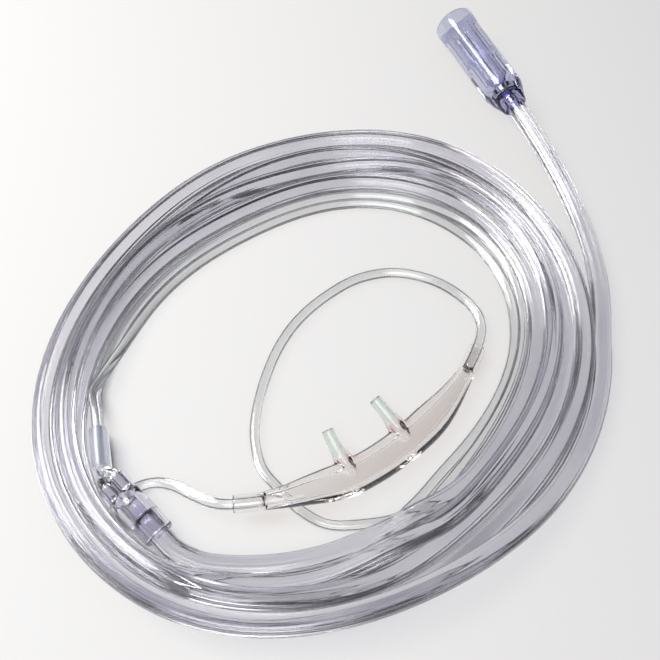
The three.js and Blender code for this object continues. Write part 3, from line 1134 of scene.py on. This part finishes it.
@dataclass
class Bundle:
    """The coil's inside: where each pass of each tube lies round its middle.

    The supply tube's passes and the two lariat tubes are followed in steps of a few degrees. At each step
    they are pushed apart until none lies in another, as discs in the bundle's section, and smoothed along
    the tubes.
    """

    centre: Pair = (3.05, 28.8)
    supply: float = 5.5
    lariat: float = 2.8
    outer_mean: float = 71.9
    outer_waves: tuple[Pair, ...] = ((1.0, -8), (6.4, 17), (1.3, 56))
    inner_mean: float = 51.2
    inner_waves: tuple[Pair, ...] = ((2.5, -146), (7.3, 8), (0.8, 1))
    spare_width: float = 0.4
    lane_gap: float = 0.3
    tail_gap: float = 0.2
    abreast_at: float = 75.0
    abreast_fade: Pair = (30.0, 75.0)
    bare: Pair = (157.0, 212.0)
    bare_fade: Pair = (0.0, 12.0)
    slide_heights: Pair = (2.15, 5.25)
    descent: Pair = (75.0, 97.0)
    crossing: Pair = (97.0, 122.0)
    leaving: Pair = (140.0, 160.0)
    tail: Pair = (285.0, 327.5)
    passes: int = 4
    step: int = 3
    gap: float = 0.12
    rounds: int = 700
    closing_from: float = 0.85
    end_freedom: float = 0.15
    push_share: float = 0.45
    recall: float = 0.99
    sink: float = 0.015

    def wave(self, mean: float, waves: tuple[Pair, ...], angle: float) -> float:
        """Gives the radius of a wavy ring.

        Args:
            mean: Its mean radius.
            waves: Size and phase of each wave.
            angle: The angle round the coil's middle, in degrees.

        Returns:
            The radius, in millimetres.
        """
        turn = math.radians(1)
        return mean + sum(
            size * math.cos((n + 1) * (angle - phase) * turn) for n, (size, phase) in enumerate(waves)
        )

    def outer_edge(self, angle: float) -> float:
        """Gives the bundle's outer radius."""
        return self.wave(self.outer_mean, self.outer_waves, angle)

    def inner_edge(self, angle: float) -> float:
        """Gives the bundle's inner radius, lariat tubes included."""
        return self.wave(self.inner_mean, self.inner_waves, angle)

    def bare_edge(self, angle: float) -> float:
        """Gives the inner radius of the supply passes where no lariat tube lies along them."""
        return self.outer_edge(angle) - 2 * self.supply - self.spare_width

    def beside(self, angle: float) -> float:
        """Tells how far the two lariat tubes lie side by side, from 0 to 1."""
        turned = (angle - self.abreast_at + 180) % 360 - 180
        return 1 - smoothstep(abs(turned), *self.abreast_fade)

    def first_lane(self, angle: float) -> float:
        """Gives the middle of the innermost supply lane.

        Args:
            angle: The angle round the coil's middle, in degrees.

        Returns:
            The radius, in millimetres.
        """
        turned = angle % 360
        if self.bare[0] <= turned <= self.bare[1]:
            return self.bare_edge(angle) + self.supply / 2
        lane = self.lariat + self.lane_gap + self.beside(angle) * (self.lariat - self.tail_gap)
        return self.inner_edge(angle) + lane + self.supply / 2

    def lane(self, number: int, angle: float) -> tuple[float, float]:
        """Places one lane in the bundle's section.

        Args:
            number: The lane, from 0 inside to 3 outside, -1 for the lead and 4 for the tail.
            angle: The angle round the coil's middle, in degrees.

        Returns:
            The lane's radius and height.
        """
        size = self.supply
        if number < 0:
            return self.bare_edge(angle) - size / 2 - self.lane_gap, size / 2
        if number > 3:
            return self.outer_edge(angle) + size / 2 + self.tail_gap, size / 2
        first = self.first_lane(angle)
        width = self.outer_edge(angle) - size / 2 - first
        small = width - size if width <= 1.5 * size else width / 3
        large = max(small, size - small)
        radius = first + (0, small, small + large, 2 * small + large)[number]
        raised = math.sqrt(max(0.0, size**2 - small**2)) if number % 2 else 0.0
        return radius, size / 2 + raised

    def supply_target(self, angle: float) -> tuple[float, float]:
        """Places the supply tube, before the tubes are pushed apart.

        Args:
            angle: The total angle from the coil's start, in degrees.

        Returns:
            The tube's radius and height.
        """
        turned = angle - self.bare[1]
        number = int(turned // 360)
        share = (turned % 360) / (self.tail[1] - self.bare[1])
        if share >= 1:
            return self.lane(number, angle)
        eased = smoothstep(share, 0.45, 1.0) if number == self.passes else smoothstep(share, 0.0, 1.0)
        before = self.lane(number - 1, angle)
        after = self.lane(number, angle)
        return lerp(before[0], after[0], eased), lerp(before[1], after[1], eased)

    def right_target(self, angle: float) -> tuple[float, float]:
        """Places the right lariat tube along the bundle's inner edge.

        Args:
            angle: The angle round the coil's middle, in degrees.

        Returns:
            The tube's radius and height.
        """
        start = 1 - smoothstep(self.bare[0] - angle, *self.bare_fade)
        edge = lerp(self.inner_edge(angle), self.bare_edge(angle) - self.lariat - self.lane_gap, start)
        return edge + self.lariat / 2, lerp(self.lariat / 2, self.slide_heights[1], start)

    def left_target(self, angle: float) -> tuple[float, float]:
        """Places the left lariat tube: on the right one, and then under the supply passes.

        Args:
            angle: The angle round the coil's middle, in degrees.

        Returns:
            The tube's radius and height.
        """
        half = self.lariat / 2
        start = 1 - smoothstep(self.bare[0] - angle, *self.bare_fade)
        aside = self.beside(angle)
        edge = self.inner_edge(angle) + 1.5 + 1.4 * aside
        edge = lerp(edge, self.bare_edge(angle) - self.lariat - self.lane_gap, start)
        height = lerp(lerp(half + 2.4, half, aside), self.slide_heights[0], start)
        crossing = smoothstep(-angle, *self.crossing)
        inside = self.first_lane(angle) + self.supply / 2 + half - 1.0
        leaving = smoothstep(-angle, *self.leaving)
        wall = self.bare_edge(angle) - 2 * half
        edge = lerp(lerp(edge, inside, crossing), wall, leaving)
        down = smoothstep(-angle, *self.descent)
        return edge + half, lerp(height, half, down)

    def chains(self) -> list[tuple[str, float, np.ndarray, np.ndarray]]:
        """Lists each tube's angles and first places.

        Returns:
            Name, diameter, angles, and places as (radius, height) rows, of each tube.
        """
        turns = np.arange(213, self.tail[1] + 360 * self.passes, self.step)
        right = np.arange(156, -103, -self.step)
        left = np.arange(156, -169, -self.step)
        listed = [("supply", self.supply, turns, self.supply_target)]
        listed.append(("right", self.lariat, right, self.right_target))
        listed.append(("left", self.lariat, left, self.left_target))
        return [(n, size, a, np.array([target(float(x)) for x in a])) for n, size, a, target in listed]

    def smoothed(self, rows: np.ndarray, share: float, times: int, ends: list[int]) -> np.ndarray:
        """Draws each point towards its neighbours along its own tube.

        Args:
            rows: One row of values for each point.
            share: How far each point goes at a time.
            times: How often.
            ends: The rows where a tube starts or ends, which stay.

        Returns:
            The smoothed rows.
        """
        rows = rows.copy()
        for _ in range(times):
            middle = (rows[:-2] + rows[2:]) / 2 - rows[1:-1]
            move = np.zeros_like(rows)
            move[1:-1] = middle * share
            move[ends] = 0
            rows += move
        return rows

    def settle(self) -> dict[str, np.ndarray]:
        """Pushes the tubes apart and lays them down.

        Returns:
            The points of each tube through the bundle, in millimetres.
        """
        chains = self.chains()
        angles = np.concatenate([angle for _, _, angle, _ in chains]).astype(float)
        goal = np.vstack([rows for _, _, _, rows in chains])
        half = np.concatenate([np.full(len(angle), size / 2) for _, size, angle, _ in chains])
        counts = np.cumsum([0] + [len(angle) for _, _, angle, _ in chains])
        ends = sorted({int(end) for end in [*counts[:-1], *(counts[1:] - 1)]})
        goal = self.smoothed(goal, 0.5, 24, ends)
        station = np.round((angles % 360) / self.step).astype(int)
        pairs = [
            (i, j)
            for stop in range(360 // self.step)
            for n, i in enumerate(np.flatnonzero(station == stop))
            for j in np.flatnonzero(station == stop)[n + 1:]
        ]
        one, two = np.array(pairs).T
        apart = half[one] + half[two] + self.gap
        free = np.ones(len(goal))
        free[ends] = self.end_freedom
        shift = np.zeros_like(goal)
        for turn in range(self.rounds):
            closing = turn > self.rounds * self.closing_from
            place = goal + shift
            away = place[one] - place[two]
            far = np.hypot(away[:, 0], away[:, 1]) + 1e-6
            push = (np.clip(apart - far, 0, None) * self.push_share / far)[:, None] * away
            move = np.zeros_like(goal)
            np.add.at(move, one, push)
            np.add.at(move, two, -push)
            shift += move * free[:, None]
            if not closing:
                shift *= self.recall
                shift[:, 1] -= self.sink
            shift = self.smoothed(shift, 0.12 if closing else 0.3, 1, ends)
            shift[:, 1] = np.maximum(shift[:, 1], half - goal[:, 1])
        place = goal + shift
        away = place[one] - place[two]
        lap = np.max(apart - self.gap - np.hypot(away[:, 0], away[:, 1]))
        log.info("bundle settled: deepest lap %.2f mm, highest tube %.1f mm", lap, np.max(place[:, 1] + half))
        x = self.centre[0] + place[:, 0] * np.cos(np.radians(angles))
        y = self.centre[1] + place[:, 0] * np.sin(np.radians(angles))
        rows = np.column_stack([x, y, place[:, 1]])
        return {name: rows[counts[n]:counts[n + 1]] for n, (name, _, _, _) in enumerate(chains)}


@dataclass
class Tubing(Fitting):
    """The supply tube and the two lariat tubes, each one unbroken tube from end to end."""

    supply_length: float = 1850.0
    right_length: float = 425.0
    left_length: float = 400.0
    supply_radii: Pair = (2.75, 1.65)
    lariat_radii: Pair = (1.4, 0.75)
    supply_sides: tuple[int, int] = (32, 24)
    lariat_sides: tuple[int, int] = (20, 12)
    supply_step: float = 2.4
    lariat_step: float = 1.6
    star: tuple[int, float] = (6, 0.12)
    lead_straight: float = 2.5

    def tube(self, name: str, line: np.ndarray, radii: Pair, sides: tuple[int, int]) -> bpy.types.Object:
        """Draws a hollow tube with a star-shaped bore along a line.

        Args:
            name: The tube's name.
            line: The points that it follows, in millimetres.
            radii: Its outer radius and the mean radius of its bore.
            sides: How many points its outer and inner rings have.

        Returns:
            The tube's object.
        """
        bm = bmesh.new()
        skin, wall = (places_along(line, [(radius, radius)] * len(line)) for radius in radii)
        first_out, last_out = carry_ring(bm, skin, sides[0])
        first_in, last_in = carry_ring(bm, wall, sides[1], *self.star)
        bmesh.ops.bridge_loops(bm, edges=first_out + first_in)
        bmesh.ops.bridge_loops(bm, edges=last_out + last_in)
        return object_of(bm, name)

    def supply_route(self, bundle: Bundle, run: np.ndarray, wye: Wye, plug: EndConnector) -> list[Point]:
        """Lists the supply tube's points, from the Y connector round the coil to the end connector.

        Args:
            bundle: The coil's sizes.
            run: The tube's points through the coil.
            wye: The Y connector's sizes.
            plug: The end connector's sizes.

        Returns:
            The points, in millimetres.
        """
        rest = bundle.supply / 2
        lead_radius = bundle.bare_edge(bundle.bare[1]) - rest - bundle.lane_gap
        angle = math.radians(bundle.bare[1])
        heading = angle + math.pi / 2
        back = self.lead_straight
        start_x = bundle.centre[0] + lead_radius * math.cos(angle) - back * math.cos(heading)
        start_y = bundle.centre[1] + lead_radius * math.sin(angle) - back * math.sin(heading)
        lead = [
            wye.point(wye.socket_depth - 0.3),
            wye.point(wye.socket_depth / 2),
            wye.point(0),
            (-55.4, 5.6, 3.9),
            (-53.1, 1.2, 3.1),
            (start_x, start_y, rest),
        ]
        tail = [
            (73.0, -4.0, rest),
            (78.9, 3.4, rest),
            (85.7, 14.8, rest),
            (91.5, 27.7, rest + 0.2),
            (95.5, 41.0, rest + 1.4),
            (98.2, 54.0, rest + 3.0),
            plug.point(0),
            plug.point(plug.socket[0] / 2),
            plug.point(plug.socket[0] - 0.3),
        ]
        return lead + [tuple(row) for row in run] + tail

    def fitting_route(self, side: Side, lane: Lane, wye: Wye, slide: Slide) -> list[Point]:
        """Lists a lariat tube's points from the coil through the slide into its port.

        Args:
            side: The tube's side.
            lane: The level that it takes through the slide.
            wye: The Y connector's sizes.
            slide: The slide's sizes.

        Returns:
            The points, in millimetres.
        """
        y = -side.value * wye.port_offset
        end = wye.barrel_length + wye.port_length
        port = end - wye.port_depth
        stops = (slide.length + slide.travel, slide.length, slide.length / 2, slide.inlet)
        route = [slide.point(stop, lane) for stop in stops]
        route.append(slide.approach_point(side, lane))
        route += [wye.point(end + wye.port_run, y), wye.point(end, y)]
        route += [wye.point(end - wye.port_depth / 2, y), wye.point(port + 0.3, y)]
        return route

    def socket_route(self, nose: Nosepiece, side: Side) -> list[Point]:
        """Lists the points inside a nosepiece socket, from its bottom to its mouth.

        Args:
            nose: The nosepiece's sizes.
            side: The socket's side.

        Returns:
            The points, in millimetres.
        """
        bottom = (nose.socket_depth - 0.3) / nose.length()
        shares = (bottom, bottom / 2, 0.0)
        return [nose.point(1 - share if side is Side.RIGHT else share) for share in shares]

    def right_route(self, run: np.ndarray, wye: Wye, slide: Slide, nose: Nosepiece) -> list[Point]:
        """Lists the right lariat tube's points, from the nosepiece to the Y connector.

        Args:
            run: The tube's points through the coil.
            wye: The Y connector's sizes.
            slide: The slide's sizes.
            nose: The nosepiece's sizes.

        Returns:
            The points, in millimetres.
        """
        rest = self.lariat_radii[0]
        loop = [
            (42.2, 9.4, nose.socket_radius),
            (44.9, 14.2, rest + 0.9),
            (44.9, 21.6, rest + 0.8),
            (41.7, 30.6, rest + 0.5),
            (35.0, 38.4, rest + 0.2),
            (26.0, 42.6, rest),
            (16.3, 43.2, rest),
            (5.6, 41.6, rest),
            (-3.7, 37.7, rest),
            (-12.7, 31.4, rest),
            (-20.7, 23.6, rest),
            (-24.7, 17.6, rest),
            (-26.9, 11.0, rest),
            (-26.4, 4.0, rest),
            (-25.2, -3.4, rest),
            (-21.9, -9.8, rest),
            (-14.8, -14.9, rest),
        ]
        route = self.socket_route(nose, Side.RIGHT) + loop + [tuple(row) for row in run[::-1]]
        return route + self.fitting_route(Side.RIGHT, Lane.UPPER, wye, slide)

    def left_route(self, run: np.ndarray, wye: Wye, slide: Slide, nose: Nosepiece) -> list[Point]:
        """Lists the left lariat tube's points, from the nosepiece to the Y connector.

        Args:
            run: The tube's points through the coil.
            wye: The Y connector's sizes.
            slide: The slide's sizes.
            nose: The nosepiece's sizes.

        Returns:
            The points, in millimetres.
        """
        rest = self.lariat_radii[0]
        loop = [
            (-41.8, 9.4, nose.point(0)[2] - 0.5),
            (-44.6, 14.4, rest + 2.2),
            (-46.9, 19.6, rest + 0.8),
            (-50.4, 23.4, rest + 0.2),
            (-55.0, 25.0, rest),
            (-59.6, 24.9, rest),
            (-62.2, 22.4, rest),
            (-62.3, 18.6, rest),
        ]
        route = self.socket_route(nose, Side.LEFT) + loop + [tuple(row) for row in run[::-1]]
        return route + self.fitting_route(Side.LEFT, Lane.LOWER, wye, slide)

    def build(
        self,
        wye: Wye,
        slide: Slide,
        nose: Nosepiece,
        plug: EndConnector,
        dressed: dict[str, bpy.types.Object],
    ) -> list[bpy.types.Object]:
        """Lays the three tubes.

        Args:
            wye: The Y connector's sizes.
            slide: The slide's sizes.
            nose: The nosepiece's sizes.
            plug: The end connector's sizes.
            dressed: The finished fittings by name.

        Returns:
            The three tubes.
        """
        bundle = Bundle()
        runs = bundle.settle()
        supply_route = self.supply_route(bundle, runs["supply"], wye, plug)
        right_route = self.right_route(runs["right"], wye, slide, nose)
        left_route = self.left_route(runs["left"], wye, slide, nose)
        supply_line = route_through(supply_route, self.supply_step)
        right_line = route_through(right_route, self.lariat_step)
        left_line = route_through(left_route, self.lariat_step)
        supply_finish = TubeFinish(
            "tinted_vinyl_tube",
            clear=(0.925, 0.922, 0.943),
            cloudy=(0.885, 0.882, 0.915),
            roughness=0.03,
            bump=0.035,
            shadow=(0.975, 0.975, 0.985),
        )
        lariat_finish = TubeFinish(
            "clear_vinyl_tube",
            clear=(0.97, 0.975, 0.98),
            cloudy=(0.95, 0.955, 0.965),
            roughness=0.04,
            bump=0.02,
            shadow=(0.985, 0.985, 0.985),
            pitch=0.5,
        )
        supply = self.tube("supply_tube", supply_line, self.supply_radii, self.supply_sides)
        right = self.tube("lariat_tube_right_full", right_line, self.lariat_radii, self.lariat_sides)
        left = self.tube("lariat_tube_left_full", left_line, self.lariat_radii, self.lariat_sides)
        self.settle_in(
            supply, supply_finish, "tinted_vinyl", ("supply_coil", "supply_tube_lead", "supply_tube_tail")
        )
        self.settle_in(right, lariat_finish, "clear_vinyl", ("lariat_tube_right", "lariat_tube_right_lead"))
        self.settle_in(left, lariat_finish, "clear_vinyl", ("lariat_tube_left", "lariat_tube_left_lead"))
        wide, thin = 2 * self.supply_radii[0], 2 * self.lariat_radii[0]
        facts = (
            (supply, supply_line, self.supply_length, wide, "connector", ["end_connector"]),
            (right, right_line, self.right_length, thin, "fitting", ["y_connector", "slide"]),
            (left, left_line, self.left_length, thin, "fitting", ["y_connector"]),
        )
        for piece, line, length, diameter, far_end, on_it in facts:
            walked = float(np.linalg.norm(np.diff(line, axis=0), axis=1).sum())
            log.info("%s follows %.0f mm, declared %.0f mm", piece.name, walked, length)
            [value * MM for value in line[0]]
            [[value * MM for value in row] for row in line]
            [dressed[name] for name in on_it]
        return [supply, right, left]


@dataclass
class Studio:
    """The floor, the soft lights and the camera."""

    eye: Point = (-64.1, -69.9, 222.0)
    look: Point = (0.2904, 0.4071, -0.8660)
    lens: float = 51.66
    floor_half: float = 1200.0
    floor_drop: float = 0.03
    aim: Point = (0.02, 0.03, 0.0)
    surroundings: Colour = (0.50, 0.50, 0.56)
    surroundings_strength: float = 0.12

    def build_camera(self) -> None:
        """Sets the camera at the photograph's viewing angle."""
        data = bpy.data.cameras.new("camera")
        data.sensor_width = 36.0
        data.lens = self.lens
        data.clip_start = 0.01
        data.clip_end = 20.0
        camera = bpy.data.objects.new("camera", data)
        camera.location = Vector(self.eye) * MM
        camera.rotation_euler = Vector(self.look).to_track_quat("-Z", "Y").to_euler()
        bpy.context.scene.collection.objects.link(camera)
        bpy.context.scene.camera = camera

    def build_floor(self) -> bpy.types.Object:
        """Lays the plain pale floor.

        Returns:
            The floor's object.
        """
        bm = bmesh.new()
        bmesh.ops.create_grid(bm, x_segments=8, y_segments=8, size=self.floor_half * MM)
        bmesh.ops.translate(bm, verts=bm.verts, vec=(0, 0, -self.floor_drop * MM))
        floor = object_of(bm, "floor", smooth=False)
        made = bpy.data.materials.new("floor_paper")
        made.use_nodes = True
        sheet = NodeSheet(made.node_tree)
        place = sheet.add("ShaderNodeTexCoord").outputs["Object"]
        grain = sheet.add("ShaderNodeTexNoise", {"Vector": place, "Scale": 900.0, "Detail": 2.0})
        colour = sheet.blend(grain.outputs["Fac"], (0.86, 0.855, 0.85), (0.88, 0.875, 0.87))
        paper = sheet.add("ShaderNodeBsdfPrincipled", {"Base Color": colour})
        paper.inputs["Roughness"].default_value = 0.75
        paper.inputs["Specular IOR Level"].default_value = 0.25
        out = sheet.add("ShaderNodeOutputMaterial")
        sheet.tree.links.new(paper.outputs["BSDF"], out.inputs["Surface"])
        floor.data.materials.append(made)
        return floor

    def add_light(self, name: str, place: Point, size: float, power: float, colour: Colour) -> None:
        """Hangs a square soft light that looks at the middle of the coil.

        Args:
            name: The light's name.
            place: Where it hangs, in metres.
            size: Its side, in metres.
            power: Its power, in watts.
            colour: Its colour.
        """
        data = bpy.data.lights.new(name, "AREA")
        data.size = size
        data.energy = power
        data.color = colour
        lamp = bpy.data.objects.new(name, data)
        lamp.location = place
        aim = Vector(self.aim) - Vector(place)
        lamp.rotation_euler = aim.to_track_quat("-Z", "Y").to_euler()
        bpy.context.scene.collection.objects.link(lamp)

    def build_lights(self) -> None:
        """Hangs the lights and sets the grey surroundings."""
        self.add_light("key", (-0.35, 0.55, 0.75), 0.45, 9.2, (1.0, 0.99, 0.98))
        self.add_light("fill", (-0.45, -0.35, 0.85), 0.5, 3.4, (0.98, 0.99, 1.0))
        scene = bpy.context.scene
        scene.view_settings.view_transform = "Standard"
        scene.cycles.caustics_refractive = False
        scene.cycles.caustics_reflective = False
        world = bpy.data.worlds.new("surroundings")
        scene.world = world
        world.use_nodes = True
        back = world.node_tree.nodes["Background"]
        back.inputs["Color"].default_value = (*self.surroundings, 1.0)
        back.inputs["Strength"].default_value = self.surroundings_strength


def main() -> None:
    """Builds the whole scene in order and reports each piece."""
    logging.basicConfig(level=logging.INFO, format="%(name)s: %(message)s")
    studio = Studio()
    studio.build_camera()
    make_cloud_group()
    make_drawn_group()
    wye = Wye()
    slide = Slide()
    nose = Nosepiece()
    plug = EndConnector()
    dressed = {
        "y_connector": wye.build(),
        "slide": slide.build(),
        "nosepiece": nose.build(),
        "end_connector": plug.build(),
    }
    tubes = Tubing().build(wye, slide, nose, plug, dressed)
    for piece in [*dressed.values(), *tubes]:
        log.info("%s has %d faces", piece.name, len(piece.data.polygons))
    studio.build_floor()
    studio.build_lights()


if __name__ == "__main__":
    main()
